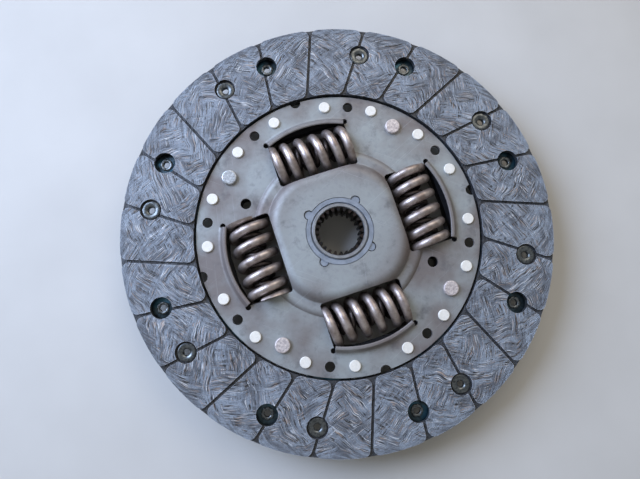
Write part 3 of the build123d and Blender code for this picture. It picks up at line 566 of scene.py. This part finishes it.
def rivetPoints():
    # a profile of (radius, height) spun about the rivet's axis: rim, dished head, bore, rolled end and
    # shank, with small steps that round the corners off
    look = tubeRivet
    seat, sheet, head = look["seat"], look["sheet"], look["head"]
    bore, shank, roll = look["bore"], look["shank"], look["roll"]
    top = seat + look["headHeight"]
    well = top - look["dish"]
    low = sheet - look["rollHeight"]
    rim = [(shank, seat), (head - 0.1, seat), (head, seat + 0.25), (head - 0.12, top - 0.12),
           (head - 0.4, top)]
    dish = [(bore + 1.3, top - 0.1), (bore + 0.5, well), (bore + 0.1, well - 0.35), (bore, well - 0.8)]
    flare = [(bore, sheet + 0.3), (bore + 0.15, low + 0.2)]
    rolled = [(bore + 0.5, low + 0.02), (roll - 0.45, low), (roll - 0.1, low + 0.15), (roll, low + 0.35)]
    under = [(roll - 0.1, sheet), (shank, sheet)]
    profile = np.array(rim + dish + flare + rolled + under)
    angle = np.linspace(0, 2 * np.pi, look["around"], endpoint=False)
    radius = np.repeat(profile[:, :1], len(angle), axis=1)
    height = np.repeat(profile[:, 1:], len(angle), axis=1)
    # the rolled end is split like a star: it is drawn in at each split, by |cos(splits a / 2)| ^ splitSharp
    split = np.abs(np.cos(angle * look["splits"] / 2)) ** look["splitSharp"]
    lipStart = len(rim + dish + flare)
    lip = np.zeros(len(profile))
    lip[lipStart:lipStart + len(rolled)] = (0.5, 1, 1, 1)
    radius -= look["splitDepth"] * lip[:, None] * split[None, :]
    return np.stack([radius * np.cos(angle), radius * np.sin(angle), height], axis=-1)


def addTubeRivets(name, node, firstAngle, flip):
    # copies stand round the ring; a flip of -1 turns each over about its own x axis
    look = tubeRivet
    one = rivetPoints()
    copies = []
    for k in range(look["count"]):
        turn = np.radians(firstAngle + 360 / look["count"] * k)
        spin = np.radians(look["spin"] * k)
        c, s = np.cos(spin), np.sin(spin)
        x = one[..., 0] * c - one[..., 1] * s + look["circle"] * np.cos(turn)
        y = (one[..., 0] * s + one[..., 1] * c) * flip + look["circle"] * np.sin(turn)
        copies.append(np.stack([x, y, one[..., 2] * flip], axis=-1).reshape(-1, 3))
    index = np.arange(one.shape[0] * one.shape[1]).reshape(one.shape[:2])
    beside, above = np.roll(index, -1, axis=1), np.roll(index, -1, axis=0)
    quads = np.stack([index, beside, np.roll(above, -1, axis=1), above], axis=-1).reshape(-1, 4)
    faces = np.concatenate([quads + k * index.size for k in range(look["count"])])
    mesh = bpy.data.meshes.new(name)
    mesh.from_pydata((np.concatenate(copies) * mm).tolist(), [], faces.tolist())
    rivets = addPiece(mesh, name, tubePlate, "disc", 50)
    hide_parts(node)


addTubeRivets("frontTubeRivets", "front_facing_rivets", 20.0, 1)
addTubeRivets("rearTubeRivets", "rear_facing_rivets", 5.0, -1)
print("tube rivets rolled")


# Painted floor: matt and nearly even, so that it only carries the shadow. It lies 0.2 mm below the
# hub's end, and floorSize is in metres.
studio = {"floor": -16.6, "floorSize": 4.0, "floorPale": "CFCDC8", "floorShade": "C8C6C1",
          "floorPatch": 60.0, "floorFade": (0.3, 0.7, 0.0, 1.0), "world": "E0E0DE", "worldStrength": 0.4}

floorMesh = bpy.data.meshes.new("floor")
edge = studio["floorSize"] / 2
corners = [(-edge, -edge, 0), (edge, -edge, 0), (edge, edge, 0), (-edge, edge, 0)]
floorMesh.from_pydata(corners, [], [(0, 1, 2, 3)])
floor = bpy.data.objects.new("floor", floorMesh)
floor.location.z = studio["floor"] * mm
scene.collection.objects.link(floor)
floorMaterial, floorTree, floorBsdf, floorMm = newMaterial("paintedFloor", {"Roughness": 0.9})
tone = addNode(floorTree, "TexNoise", {"Vector": floorMm, "Scale": 1 / studio["floorPatch"], "Detail": 3.0})
tone = addNode(floorTree, "MapRange", [tone, *studio["floorFade"]])
floorColour = layColours(floorTree, studio["floorShade"], [(tone, studio["floorPale"])])
floorTree.links.new(floorColour, floorBsdf.inputs["Base Color"])
floorMesh.materials.append(floorMaterial)

world = bpy.data.worlds.new("studioLight")
scene.world = world
world.use_nodes = True
background = world.node_tree.nodes["Background"]
background.inputs["Color"].default_value = linear(studio["world"])
background.inputs["Strength"].default_value = studio["worldStrength"]

# Round lamps, in metres; the narrow spread keeps the floor under the near one from glaring
lamps = {
    "skySide": {"place": (-0.43, 0.41, 0.40), "target": (-0.08, 0.05, 0), "size": 0.65, "spread": 80,
                "watts": 2.3, "colour": "C6DAFF"},
    "fillSide": {"place": (0.50, 0.65, 0.70), "target": (0, 0, 0), "size": 0.9, "spread": 180,
                 "watts": 3.8, "colour": "FFF4E6"}}


def addLamp(name, look):
    lamp = bpy.data.lights.new(name, "AREA")
    lamp.shape = "DISK"
    lamp.size = look["size"]
    lamp.spread = np.radians(look["spread"])
    lamp.energy = look["watts"]
    lamp.color = linear(look["colour"])[:3]
    made = bpy.data.objects.new(name, lamp)
    scene.collection.objects.link(made)
    made.location = look["place"]
    aim = Vector(look["target"]) - Vector(look["place"])
    made.rotation_euler = aim.to_track_quat("-Z", "Y").to_euler()


for lampName, lampLook in lamps.items():
    addLamp(lampName, lampLook)

# The camera: right, up and back are the ways that its own x, y and z point
photoCamera = {"lens": 29.21, "sensor": 36, "place": (-31.5, -34.9, 288.0),
               "right": (0.9485, -0.3157, 0.0287), "up": (0.3092, 0.9413, 0.1357),
               "back": (-0.0698, -0.1199, 0.9903)}
cameraData = bpy.data.cameras.new("photoCamera")
cameraData.sensor_width = photoCamera["sensor"]
cameraData.lens = photoCamera["lens"]
camera = bpy.data.objects.new("photoCamera", cameraData)
axes = Matrix((photoCamera["right"], photoCamera["up"], photoCamera["back"])).transposed().to_4x4()
camera.matrix_world = Matrix.Translation(Vector(photoCamera["place"]) * mm) @ axes
scene.collection.objects.link(camera)
scene.camera = camera
scene.view_settings.view_transform = "Standard"
print("stage set")
